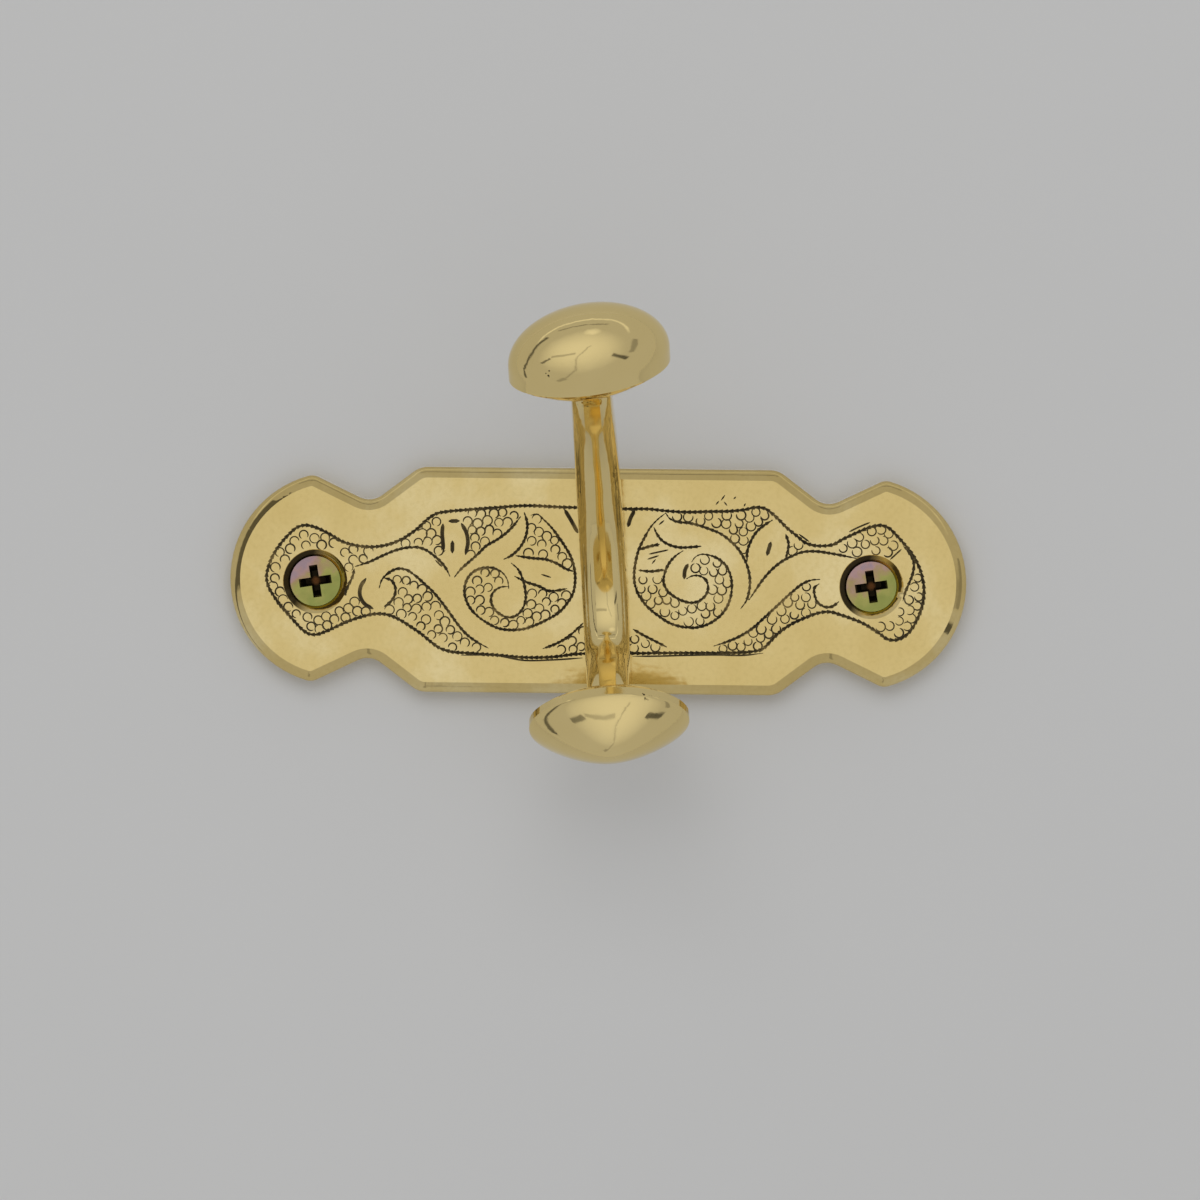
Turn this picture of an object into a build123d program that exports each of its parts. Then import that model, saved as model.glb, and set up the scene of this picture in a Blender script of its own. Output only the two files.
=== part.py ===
from build123d import *
import os
from math import cos, pi, radians, sin, sqrt

os.makedirs("parts", exist_ok=True)

# A cast and polished brass double coat hook on an engraved backplate, with its two wood screws.
# World frame: X along the plate, Z up, the hook stands out along -Y, the wall is the plane y = 0.
# Everything is drawn in the wall frame (x right, y up, z out of the wall) and turned at the end.
WALL = Plane.XZ

# Backplate
PLATE_LENGTH = 100.0
PLATE_HEIGHT = 30.6
PLATE_THICKNESS = 4.0
EDGE_ROUND = 1.4  # round along the front edge
CORNER_X = 24.3  # half length of the straight top and bottom edges
NOTCH_X = 30.9
NOTCH_Z = 10.3
TIP_X = 38.8  # horns of the end lobes
TIP_Z = 14.1
CORNER_ROUND = 3.2
NOTCH_ROUND = 3.0
TIP_ROUND = 2.0

# Wood screws, countersunk, cross recess
HOLE_SPACING = 75.5
HOLE_MID_X = -0.65  # the pair of holes sits a little left of and below the middle of the plate
HOLE_DROP = 0.35
HEAD_DIAMETER = 6.8
HEAD_LAND = 0.25  # straight rim of the head above its 90 degree cone
HEAD_SINK = 0.65  # head face below the plate face
SHANK_DIAMETER = 3.5  # over the thread
PLAIN_DIAMETER = 2.6  # plain neck under the head
THREAD_START = 1.0  # behind the plate
SCREW_LENGTH = 30.0
POINT_LENGTH = 4.5
SHANK_PLAY = 0.3  # radial play of the shank in its hole
SEAT_GAP = 0.05  # gap between seated faces
RECESS_SPAN = 4.4
RECESS_WING = 1.15
RECESS_DEPTH = 1.7
RECESS_TAPER = 0.62  # size at the bottom of the recess, as a part of its mouth
RECESS_TURN = 9.0

# Hook casting; heights are measured from the middle of the plate, reaches from its face
ROOT_X = 1.2
ROOT_HEIGHT = -4.8
HOOK_LEAN = 3.3  # the casting was set leaning a little to the left
ARM_WIDTH = 6.15  # at the root
ARM_DEPTH = 6.3
NECK_WIDTH = 5.3  # at both knobs
NECK_DEPTH = 4.9
ARM_CORNER = 0.3  # corner round of the arm's section, as a part of its width
FOOT_WIDTH = 5.0
FOOT_HEIGHT = 8.0
TENON_DIAMETER = 4.8
PEEN_DIAMETER = 7.0  # tenon head, spread into the rear countersink
PEEN_RECESS = 0.2

# Knobs: oval caps that spread from the ends of the arm
KNOB_RIM = 0.5  # thickness of the rim
FLARE_LENGTH = 5.0  # neck spreading into the back of the cap
UPPER_WIDTH = 21.6
UPPER_BREADTH = 12.1
UPPER_SKIRT = 1.9  # upright side above the rim
UPPER_DOME = 9.35  # height above the rim
UPPER_HEIGHT = 29.9
UPPER_REACH = 40.0
UPPER_TILT = 55.0  # axis above horizontal
UPPER_TURN = 11.5  # turned on its axis, right side up
LOWER_WIDTH = 21.5
LOWER_BREADTH = 13.8
LOWER_SKIRT = 1.1
LOWER_DOME = 6.7
LOWER_HEIGHT = -17.4
LOWER_REACH = 19.6
LOWER_TILT = -50.0
LOWER_TURN = 3.0

# Engraving, drawn on a plate of DRAWN_LENGTH by DRAWN_HEIGHT and stretched with the real one
DRAWN_LENGTH = 100.0
DRAWN_HEIGHT = 30.6
DRAWN_RISE = 0.4  # middle of the drawing above the middle of the plate
CUT_DEPTH = 0.3
LINE = 0.38  # engraved line
BOLD = 0.55

HEAD_R = HEAD_DIAMETER / 2
SHANK_R = SHANK_DIAMETER / 2
PLAIN_R = PLAIN_DIAMETER / 2
TENON_R = TENON_DIAMETER / 2
PEEN_R = PEEN_DIAMETER / 2
CONE_GAP = SEAT_GAP * sqrt(2)  # radial gap that leaves SEAT_GAP between two 45 degree cones
HOLE_XS = (HOLE_MID_X - HOLE_SPACING / 2, HOLE_MID_X + HOLE_SPACING / 2)


def lathe(*points):
    """A solid turned about the z axis from (radius, height) points."""
    profile = make_face(Plane.XZ * Polyline(*points, close=True))
    return revolve(profile, Axis.Z)


def cross(span, wing):
    """The outline of a cross recess."""
    a, b = span / 2, wing / 2
    arm_points = [(b, a), (b, b), (a, b)]
    quarter = [(1, 1), (1, -1), (-1, -1), (-1, 1)]
    points = []
    for n, (sx, sy) in enumerate(quarter):
        turn = arm_points if n % 2 == 0 else arm_points[::-1]
        points += [(sx * x, sy * y) for x, y in turn]
    return make_face(Polyline(*points, close=True))


def plate_outline():
    """The plate's silhouette: straight middle, two notches and an arched lobe at each end."""
    half = PLATE_LENGTH / 2
    top = PLATE_HEIGHT / 2
    upper = Polyline(
        (-TIP_X, TIP_Z),
        (-NOTCH_X, NOTCH_Z),
        (-CORNER_X, top),
        (CORNER_X, top),
        (NOTCH_X, NOTCH_Z),
        (TIP_X, TIP_Z),
    )
    right = ThreePointArc((TIP_X, TIP_Z), (half, 0), (TIP_X, -TIP_Z))
    lower = mirror(upper, Plane.XZ)
    left = mirror(right, Plane.YZ)
    face = make_face(upper.edges() + right.edges() + lower.edges() + left.edges())
    for x, size in ((CORNER_X, CORNER_ROUND), (NOTCH_X, NOTCH_ROUND), (TIP_X, TIP_ROUND)):
        face = fillet([v for v in face.vertices() if abs(abs(v.X) - x) < 1e-4], size)
    return face


def stroke(points, width, blunt=False):
    """One engraved line: a smooth path that swells to its width and thins out at its ends."""
    sx = PLATE_LENGTH / DRAWN_LENGTH
    sz = PLATE_HEIGHT / DRAWN_HEIGHT
    path = Spline(*[(x * sx, (z + DRAWN_RISE) * sz) for x, z in points])
    count = max(4, 2 * len(points) - 2)
    left, right = [], []
    for i in range(count + 1):
        u = i / count
        swell = 1.0 if blunt else min(1.0, 0.3 + 2.2 * sin(pi * u))
        across = path.tangent_at(u).rotate(Axis.Z, 90) * (width / 2 * swell)
        left.append(path.position_at(u) + across)
        right.append(path.position_at(u) - across)
    return make_face(Polyline(*left, *reversed(right), close=True))


def knob(width, breadth, skirt, dome, rise, spread):
    """An oval cap about z, its rim at z = 0, its neck reaching down FLARE_LENGTH.

    Rise and spread make the dome full (about 0.55, an ellipse) or pointed (towards 0).
    """
    r = breadth / 2
    neck = NECK_WIDTH / 2 * breadth / width * 0.9  # starts inside the arm
    edge = (r * 0.94, -KNOB_RIM)
    deep = -FLARE_LENGTH
    flare = Bezier((neck, deep), (neck, deep * 0.78), (r * 0.48, deep * 0.74), edge)
    rim = Polyline(edge, (r, 0), (r, skirt))
    full = Bezier((r, skirt), (r, skirt + rise * (dome - skirt)), (r * spread, dome), (0, dome))
    axis_line = Polyline((0, dome), (0, deep), (neck, deep))
    profile = Plane.XZ * make_face([flare, rim, full, axis_line])
    return scale(revolve(profile, Axis.Z), (width / breadth, 1, 1))


def knob_plane(height, reach, tilt):
    """The frame of a knob's rim, its z axis pointing out through the dome."""
    out = (0, sin(radians(tilt)), cos(radians(tilt)))
    return Plane((0, height, PLATE_THICKNESS + reach), x_dir=(1, 0, 0), z_dir=out)


def arm():
    """The strap of the hook, from the lower knob along the plate to the upper knob."""
    face = PLATE_THICKNESS
    rest = face + ARM_DEPTH / 2 + 0.2  # the strap's middle line where it lies along the plate
    rise = UPPER_HEIGHT - ROOT_HEIGHT
    swing = face + UPPER_REACH - rest
    drop = ROOT_HEIGHT - LOWER_HEIGHT
    lower_swing = face + LOWER_REACH - rest
    middle = [
        (LOWER_HEIGHT, face + LOWER_REACH),
        (ROOT_HEIGHT - drop * 0.74, rest + lower_swing * 0.755),
        (ROOT_HEIGHT - drop * 0.61, rest + lower_swing * 0.465),
        (ROOT_HEIGHT - drop * 0.49, rest + lower_swing * 0.22),
        (ROOT_HEIGHT - drop * 0.25, rest + lower_swing * 0.045),
        (ROOT_HEIGHT + rise * 0.04, rest),
        (ROOT_HEIGHT + rise * 0.18, rest + swing * 0.031),
        (ROOT_HEIGHT + rise * 0.40, rest + swing * 0.16),
        (ROOT_HEIGHT + rise * 0.59, rest + swing * 0.36),
        (ROOT_HEIGHT + rise * 0.76, rest + swing * 0.605),
        (ROOT_HEIGHT + rise * 0.855, rest + swing * 0.795),
        (ROOT_HEIGHT + rise * 0.925, rest + swing * 0.925),
        (UPPER_HEIGHT, face + UPPER_REACH),
    ]
    path = Spline(*[(0, h, out) for h, out in middle])
    root_at = path.param_at_point((0, middle[5][0], middle[5][1]))
    sections = []
    count = 16
    for i in range(count + 1):
        u = i / count
        near = u / root_at if u < root_at else (1 - u) / (1 - root_at)
        full = sin(pi / 2 * min(1.0, near))
        width = NECK_WIDTH + (ARM_WIDTH - NECK_WIDTH) * full
        depth = NECK_DEPTH + (ARM_DEPTH - NECK_DEPTH) * full
        spot = Plane(path.position_at(u), x_dir=(1, 0, 0), z_dir=path.tangent_at(u))
        sections.append(spot * RectangleRounded(width, depth, ARM_CORNER * width))
    return loft(sections)


# Scroll and border of the engraving, each line as points (x, z) from the middle of the drawing
BORDER_LEFT = [
    (0.6, 9.6), (-5, 9.65), (-10, 9.8), (-14, 9.5), (-18, 9.15), (-20.5, 8.9), (-22, 8.6), (-23, 8.0),
    (-24.5, 6.6), (-26, 5.5), (-28, 4.5), (-30, 4.05), (-32, 4.05), (-33.5, 4.3), (-35, 4.8), (-36, 5.4),
    (-37.3, 6.1), (-38.5, 6.6), (-39.8, 6.85), (-40.8, 6.6), (-42, 5.6), (-43.2, 4.2), (-44.2, 2.6),
    (-44.8, 1.0), (-45.0, -0.3), (-44.7, -1.6), (-44.0, -2.8), (-43.0, -4.2), (-42.0, -5.3), (-41, -6.4),
    (-40, -7.4), (-39.2, -7.9), (-38.3, -8.0), (-37, -7.6), (-35.5, -6.9), (-34, -6.2), (-32, -5.5),
    (-30.2, -5.1), (-28.5, -5.2), (-27, -5.8), (-25.5, -6.7), (-24, -7.7), (-22.5, -8.9), (-21.5, -9.6),
    (-20, -10.1), (-17.5, -10.3), (-14, -10.5), (-10, -10.8), (-6, -10.7), (-3, -10.3), (0.6, -10.1),
]
BORDER_RIGHT = [
    (-0.6, 9.55), (4, 9.5), (7, 9.5), (9, 9.3), (12, 9.15), (15, 9.25), (18, 9.35), (20, 9.6), (21, 9.85),
    (22.5, 9.75), (23.5, 9.1), (24.5, 8.2), (25.5, 7.2), (27, 6.0), (28, 5.2), (29, 4.85), (30.5, 4.75),
    (32, 5.0), (33, 5.6), (34, 6.1), (35.5, 6.8), (37, 7.4), (38.4, 7.6), (39.3, 7.3), (40.3, 6.4),
    (41.5, 5.1), (42.5, 3.9), (43.3, 2.5), (43.9, 1.0), (44.2, -0.6), (44.2, -2.2), (43.9, -3.7),
    (43.3, -5.2), (42.5, -6.6), (41.4, -7.6), (40.3, -7.95), (39.3, -7.8), (38.3, -7.1), (37.2, -6.4),
    (36, -5.7), (34.5, -5.1), (33, -4.6), (31.5, -4.2), (30, -4.35), (28.5, -4.9), (26.5, -5.8),
    (25, -6.8), (24, -7.7), (23.2, -8.6), (22.5, -9.3), (21, -9.7), (18, -9.9), (14, -9.95), (10, -10.0),
    (4.8, -10.1), (-0.6, -10.1),
]
LINES = [
    # left panel: stem, leaf, the large volute with its eye, veins
    [(-33.0, 1.3), (-31.2, 1.9), (-29.1, 2.9), (-27.4, 3.6), (-25.9, 3.95), (-24.5, 4.0), (-23.5, 3.7),
     (-22.3, 2.9), (-21.3, 2.0), (-20.6, 1.1), (-20.1, 0.1)],
    [(-19.5, 0.0), (-18.7, 1.0), (-17.4, 2.2), (-16.2, 3.3), (-15.2, 4.3), (-14.0, 5.0), (-12.6, 6.0),
     (-11.6, 7.0), (-10.6, 8.3)],
    [(-10.1, 8.9), (-9.7, 7.6), (-9.7, 6.3), (-10.1, 5.0), (-10.9, 3.8), (-11.8, 3.0), (-12.8, 2.5)],
    [(-9.2, 8.5), (-8.4, 8.7), (-7.4, 7.9), (-6.4, 6.9), (-5.4, 5.6), (-4.5, 4.3), (-3.7, 2.9),
     (-3.2, 1.2), (-3.1, -0.5), (-3.4, -2.1), (-4.1, -3.3), (-5.3, -4.7), (-6.6, -5.5), (-8.2, -6.3),
     (-9.8, -6.9), (-11.6, -7.1), (-13.4, -6.9), (-15.1, -6.1), (-16.6, -5.0), (-17.6, -3.7),
     (-18.1, -2.2), (-18.0, -0.9), (-17.4, 0.3), (-16.5, 1.0), (-15.2, 1.35), (-13.9, 1.2),
     (-12.9, 0.6), (-12.3, -0.3), (-12.1, -1.5)],
    [(-12.1, -1.2), (-13.2, -1.3), (-14.2, -2.0), (-14.5, -3.0), (-14.1, -4.2), (-13.2, -5.0),
     (-12.0, -5.4), (-11.0, -5.1), (-10.2, -4.2), (-9.8, -3.0), (-9.9, -1.4), (-10.3, 0.1),
     (-10.9, 1.2), (-11.8, 2.0)],
    [(-11.2, 3.0), (-9.0, 2.7), (-7.0, 2.5), (-5.6, 2.0), (-4.4, 1.3), (-3.2, 0.9)],
    [(-11.3, 0.2), (-9.9, -0.5), (-7.8, -1.2), (-6.8, -1.7), (-5.4, -1.65), (-4.2, -1.4)],
    [(-29.7, -1.6), (-29.3, -0.4), (-28.4, 0.5), (-27.3, 1.05), (-26.2, 1.0), (-25.0, 0.3),
     (-23.6, -0.9), (-22.3, -2.1), (-21.2, -3.4), (-20.0, -5.0), (-18.9, -6.5), (-17.6, -7.9),
     (-16.3, -8.8), (-14.8, -9.6)],
    [(-29.1, -0.2), (-28.1, -0.5), (-27.5, -1.5), (-27.6, -2.6), (-28.2, -3.5), (-29.0, -4.1)],
    [(-33.1, 1.0), (-33.3, 0.0), (-33.9, -1.3), (-34.4, -2.6)],
    [(-1.9, -6.0), (-3.0, -7.1), (-4.2, -8.1), (-5.6, -8.9), (-7.4, -9.6)],
    # right panel: the large volute with its eye, leaf, teardrop, stems, crescent round the screw
    [(9.1, 9.0), (8.0, 8.1), (7.1, 7.1), (6.3, 5.7), (5.5, 4.0), (5.1, 2.4), (4.9, 0.8), (5.0, -0.7),
     (5.4, -1.9), (6.1, -3.0), (7.1, -4.1), (8.3, -5.0), (9.7, -5.9), (11.3, -6.4), (13.0, -6.55),
     (14.6, -6.2), (15.9, -5.5), (16.9, -4.6), (17.7, -3.3), (18.1, -1.9), (18.15, -0.5),
     (17.9, 0.9), (17.2, 2.1), (16.2, 2.9), (15.0, 3.35), (13.8, 3.4), (13.1, 3.0), (12.7, 2.4)],
    [(12.0, 0.1), (12.8, 0.5), (13.8, 0.5), (14.6, 0.0), (14.95, -0.9), (14.7, -2.0), (13.9, -2.8),
     (12.8, -3.15), (11.5, -2.9), (10.3, -2.3), (9.4, -1.5), (8.9, -0.4), (9.1, 1.0), (9.7, 2.3),
     (10.5, 3.2), (11.5, 3.9)],
    [(9.1, 9.0), (9.6, 8.3), (10.5, 7.85), (12.0, 7.7), (13.5, 7.4), (15.0, 6.9), (16.5, 6.3),
     (17.9, 5.3), (18.9, 4.3), (19.7, 3.1), (20.3, 1.7), (20.6, 0.2), (20.5, -1.6), (20.2, -2.7),
     (19.4, -3.9)],
    [(7.5, 7.1), (7.9, 6.2), (8.6, 5.3), (9.6, 4.7), (11.0, 4.35), (12.5, 4.4), (14.0, 4.55)],
    [(5.6, 4.0), (6.8, 4.4), (8.3, 4.75)],
    [(5.5, 1.2), (7.0, 1.05), (9.0, 1.3)],
    [(23.6, 8.2), (22.5, 7.5), (21.4, 6.5), (20.6, 5.1), (20.2, 3.8), (20.2, 2.6)],
    [(25.4, 6.3), (25.8, 5.0), (25.7, 3.9), (25.4, 3.0)],
    [(20.5, -2.7), (21.3, -1.5), (22.3, 0.0), (23.5, 1.4), (24.8, 2.5), (26.2, 3.3), (27.8, 3.9),
     (29.5, 4.0), (31.5, 3.75), (33.5, 3.4), (35.0, 3.1)],
    [(15.8, -9.0), (17.3, -8.5), (19.0, -7.8), (20.8, -6.7), (22.8, -4.9), (24.6, -3.2), (26.3, -1.6),
     (27.8, -0.4), (29.0, 0.1), (30.1, 0.2)],
    [(30.0, -0.4), (29.4, -0.9), (29.4, -1.9), (29.8, -2.9), (30.7, -3.5), (31.7, -3.5), (32.7, -2.8)],
    [(41.4, 4.8), (42.2, 3.9), (42.8, 2.6), (42.7, 1.2), (42.2, -0.2), (41.7, -1.4), (41.4, -2.6)],
    [(4.8, -6.8), (6.0, -7.5), (7.6, -8.3), (9.4, -9.2)],
]
BOLD_LINES = [
    [(-21.1, 7.2), (-21.2, 6.0), (-21.1, 4.8), (-21.0, 3.6)],
    [(-18.6, 7.3), (-17.9, 6.0), (-17.7, 4.8), (-18.0, 3.1)],
    [(-19.8, 4.9), (-19.8, 3.3)],
    [(-20.3, 7.6), (-18.9, 7.65)],
    [(-31.5, -0.3), (-32.2, -1.4), (-32.3, -2.6), (-31.7, -3.7), (-30.5, -4.4)],
    [(-4.6, 9.3), (-3.8, 8.0), (-2.8, 6.2)],
    [(4.9, 9.3), (4.4, 8.4), (4.0, 7.1)],
    [(12.2, 2.1), (11.8, 1.3), (11.7, 0.1)],
    [(23.4, 5.2), (22.9, 3.4)],
]


# Backplate: rounded front edge, two countersunk holes, tenon hole, engraving
blank = extrude(plate_outline(), PLATE_THICKNESS)
front_edge = [e for e in blank.edges() if abs(e.center().Z - PLATE_THICKNESS) < 1e-4]
plate = fillet(front_edge, EDGE_ROUND)

mouth_r = HEAD_R + HEAD_SINK + HEAD_LAND + CONE_GAP
hole_r = SHANK_R + SHANK_PLAY
countersink = lathe(
    (0, -1),
    (hole_r, -1),
    (hole_r, PLATE_THICKNESS - (mouth_r - hole_r)),
    (mouth_r + 1, PLATE_THICKNESS + 1),
    (0, PLATE_THICKNESS + 1),
)
bore_r = TENON_R + SEAT_GAP
peen_r = PEEN_R + CONE_GAP
tenon_bore = lathe(
    (0, -1),
    (peen_r + 1 + PEEN_RECESS, -1),
    (bore_r, peen_r + PEEN_RECESS - bore_r),
    (bore_r, PLATE_THICKNESS + 1),
    (0, PLATE_THICKNESS + 1),
)
lines = [stroke(points, LINE) for points in LINES]
lines += [stroke(points, BOLD) for points in BOLD_LINES]
lines += [stroke(points, LINE, blunt=True) for points in (BORDER_LEFT, BORDER_RIGHT)]
floor = Pos(0, 0, PLATE_THICKNESS - CUT_DEPTH)
cuts = [floor * extrude(f, CUT_DEPTH + 0.5, dir=(0, 0, 1)) for f in lines]
plate -= [Pos(x, -HOLE_DROP, 0) * countersink for x in HOLE_XS]
plate -= Pos(ROOT_X, ROOT_HEIGHT, 0) * tenon_bore
plate -= cuts

# Hook: strap, two oval knobs, foot on the plate, tenon through it
upper_cap = knob(UPPER_WIDTH, UPPER_BREADTH, UPPER_SKIRT, UPPER_DOME, rise=0.56, spread=0.56)
lower_cap = knob(LOWER_WIDTH, LOWER_BREADTH, LOWER_SKIRT, LOWER_DOME, rise=0.14, spread=0.38)
upper = knob_plane(UPPER_HEIGHT, UPPER_REACH, UPPER_TILT) * Rot(0, 0, UPPER_TURN) * upper_cap
lower = knob_plane(LOWER_HEIGHT, LOWER_REACH, LOWER_TILT) * Rot(0, 0, LOWER_TURN) * lower_cap
foot = extrude(SlotOverall(FOOT_HEIGHT, FOOT_WIDTH, rotation=90), ARM_DEPTH / 2)
tenon = lathe(
    (0, PEEN_RECESS),
    (PEEN_R, PEEN_RECESS),
    (TENON_R, PEEN_RECESS + PEEN_R - TENON_R),
    (TENON_R, PLATE_THICKNESS + ARM_DEPTH / 2),
    (0, PLATE_THICKNESS + ARM_DEPTH / 2),
)
casting = arm() + upper + lower
casting += Pos(0, ROOT_HEIGHT, PLATE_THICKNESS) * foot
casting += Pos(0, ROOT_HEIGHT, 0) * tenon
casting = Pos(ROOT_X, ROOT_HEIGHT, 0) * Rot(0, 0, HOOK_LEAN) * Pos(0, -ROOT_HEIGHT, 0) * casting

# Screws
top = PLATE_THICKNESS - HEAD_SINK
cone_start = top - HEAD_LAND
point_start = top - SCREW_LENGTH + POINT_LENGTH
blank_screw = lathe(
    (0, top),
    (HEAD_R, top),
    (HEAD_R, cone_start),
    (PLAIN_R, cone_start - (HEAD_R - PLAIN_R)),
    (PLAIN_R, -THREAD_START),
    (SHANK_R, -THREAD_START - (SHANK_R - PLAIN_R)),
    (SHANK_R, point_start),
    (0, top - SCREW_LENGTH),
)
mouth = Pos(0, 0, top) * cross(RECESS_SPAN, RECESS_WING)
bottom = Pos(0, 0, top - RECESS_DEPTH) * cross(RECESS_SPAN * RECESS_TAPER, RECESS_WING * RECESS_TAPER)
recess = Rot(0, 0, RECESS_TURN) * loft([bottom, mouth])
screw = blank_screw - recess
screws = [Pos(x, -HOLE_DROP, 0) * screw for x in HOLE_XS]

for name, shape in (("backplate", plate), ("hook", casting), ("mounting_screws", Compound(children=screws))):
    export_step(WALL.location * shape, f"parts/{name}.step")
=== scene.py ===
import math
import random

import bmesh
import bpy
import numpy as np
from mathutils import Matrix, Vector
from mathutils.geometry import delaunay_2d_cdt
from mathutils.kdtree import KDTree


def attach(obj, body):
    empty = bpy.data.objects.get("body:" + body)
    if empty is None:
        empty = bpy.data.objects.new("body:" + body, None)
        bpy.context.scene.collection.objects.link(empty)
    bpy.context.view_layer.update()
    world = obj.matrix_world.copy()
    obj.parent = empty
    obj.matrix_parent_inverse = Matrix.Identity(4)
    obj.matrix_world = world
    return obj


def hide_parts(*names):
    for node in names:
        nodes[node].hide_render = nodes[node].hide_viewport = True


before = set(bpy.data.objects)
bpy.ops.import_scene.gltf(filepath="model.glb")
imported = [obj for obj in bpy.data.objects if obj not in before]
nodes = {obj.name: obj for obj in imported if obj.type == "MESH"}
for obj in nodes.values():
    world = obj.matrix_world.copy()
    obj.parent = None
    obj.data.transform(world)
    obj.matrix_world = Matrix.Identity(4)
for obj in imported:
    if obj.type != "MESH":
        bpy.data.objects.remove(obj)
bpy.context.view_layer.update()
scene = bpy.context.scene
scene.view_settings.view_transform = "Standard"

MM = 0.001
TOUCH = 1e-3  # points that are nearer than this to a plane lie on it

# Sizes shared with the CAD, in millimetres
FACE_Y = -4.0  # plate face
FLOOR_Y = -3.7  # floor of the CAD engraving
EDGE_ROUND = 1.4  # round of the CAD plate's front edge
DRAWN_RISE = 0.4  # middle of the engraving above the middle of the plate
HOLES = ((-38.4, -0.35), (37.1, -0.35))
HEAD_Y = -3.35  # face of the screw heads
SHANK_R = 1.75  # over the thread
PLAIN_R = 1.3  # plain neck under the head
THREAD_START = 1.0
THREAD_END = 22.15
POINT_END = 26.65
STRAP_LEAN = 3.3  # lean of the hook's strap, in degrees
STRAP_ROOT = (1.2, -4.8)  # middle of the strap's root (x, z)

# The plate's filed edge: its slope at its inner and its outer end, in degrees, and how late it bends
BEVEL = (26.0, 80.0)
BEVEL_BEND = 4
BEVEL_SAMPLES = 91
SINK_REACH = 6.0  # the countersinks' edges lie within this distance of a hole's middle

# The screws' thread
CORE_R = 1.18
PITCH = 1.45
THREAD_LEAD = 1.2  # length over which the thread rises from the plain neck
RIDGE_HALF = 0.24  # half of a ridge's width, as a part of the pitch
RIDGE_POWER = 0.8
THREAD_SIDES = 28
THREAD_STEP = 0.1
TIP_LENGTH = 0.15  # last bit of the point, beyond the thread
TIP_SHARE = 0.04  # size of the point at its end

# The strap's crowned front
CROWN_ROUND = 6.5
CROWN_HALF = 2.4  # half of its width
CROWN_LINES = 8  # lines along each half
FRONT_FADE = 0.25  # how far a surface has to face forwards to be filed in full
KNOB_FADE = 4.0  # length over which the crown rises
# Where the strap's front is level again, at the knobs: middle (x, y, z) and reach
KNOBS = ((-1.0, -46.0, 30.0, 12.5), (2.5, -25.0, -17.0, 12.0))

# Kinds of cut: half width, depth and step along the line, and the part that nicks bite out of the width
BORDER_CUT = (0.185, 0.22, 0.12, 0.5)
LINE_CUT = (0.165, 0.2, 0.15, 0.42)
BOLD_CUT = (0.27, 0.26, 0.3, 0.0)
FINE_CUT = (0.12, 0.12, 0.3, 0.0)
NICK_PITCH = (0.62, 0.78)
NICK_SWELL = 1.9
NICK_GUARD = 0.03  # level strip beside a nicked line
TAPER_TIP = 0.35  # width at the ends of a line, as a part of the full width
TAPER_RISE = 2.0
WIDEST_CUT = 0.55  # no cut reaches further than this from its middle line
LEAST_DEPTH = 0.02

# Ring marks: ranges in millimetres and degrees, and what they keep clear of
RING_RADIUS = (0.54, 0.66)
RING_TURN = (-28, 28)
RING_SWEEP = (110, 172)  # either way from the middle of the closed side
RING_HALF = (0.075, 0.12)
RING_DEPTH = (0.09, 0.14)
RING_POINTS = 15
RING_SPACING = 1.14
RING_TO_LINE = 0.55
RING_TO_HOLE = 4.95
RING_TRIES = 8000

# Engraving, each line as points (x, z) in millimetres from the middle of the drawing
BORDER_LEFT = [
    (0.6, 9.6), (-5, 9.65), (-10, 9.8), (-14, 9.5), (-18, 9.15), (-20.5, 8.9), (-22, 8.6), (-23, 8.0),
    (-24.5, 6.6), (-26, 5.5), (-28, 4.5), (-30, 4.05), (-32, 4.05), (-33.5, 4.3), (-35, 4.8),
    (-36, 5.4),
    (-37.3, 6.1), (-38.5, 6.6), (-39.8, 6.85), (-40.8, 6.6), (-42, 5.6), (-43.2, 4.2), (-44.2, 2.6),
    (-44.8, 1.0), (-45.0, -0.3), (-44.7, -1.6), (-44.0, -2.8), (-43.0, -4.2), (-42.0, -5.3),
    (-41, -6.4),
    (-40, -7.4), (-39.2, -7.9), (-38.3, -8.0), (-37, -7.6), (-35.5, -6.9), (-34, -6.2), (-32, -5.5),
    (-30.2, -5.1), (-28.5, -5.2), (-27, -5.8), (-25.5, -6.7), (-24, -7.7), (-22.5, -8.9), (-21.5, -9.6),
    (-20, -10.1), (-17.5, -10.3), (-14, -10.5), (-10, -10.8), (-6, -10.7), (-3, -10.3), (0.6, -10.1),
]
BORDER_RIGHT = [
    (-0.6, 9.55), (4, 9.5), (7, 9.5), (9, 9.3), (12, 9.15), (15, 9.25), (18, 9.35), (20, 9.6),
    (21, 9.85),
    (22.5, 9.75), (23.5, 9.1), (24.5, 8.2), (25.5, 7.2), (27, 6.0), (28, 5.2), (29, 4.85), (30.5, 4.75),
    (32, 5.0), (33, 5.6), (34, 6.1), (35.5, 6.8), (37, 7.4), (38.4, 7.6), (39.3, 7.3), (40.3, 6.4),
    (41.5, 5.1), (42.5, 3.9), (43.3, 2.5), (43.9, 1.0), (44.2, -0.6), (44.2, -2.2), (43.9, -3.7),
    (43.3, -5.2), (42.5, -6.6), (41.4, -7.6), (40.3, -7.95), (39.3, -7.8), (38.3, -7.1), (37.2, -6.4),
    (36, -5.7), (34.5, -5.1), (33, -4.6), (31.5, -4.2), (30, -4.35), (28.5, -4.9), (26.5, -5.8),
    (25, -6.8), (24, -7.7), (23.2, -8.6), (22.5, -9.3), (21, -9.7), (18, -9.9), (14, -9.95),
    (10, -10.0),
    (4.8, -10.1), (-0.6, -10.1),
]
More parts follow.
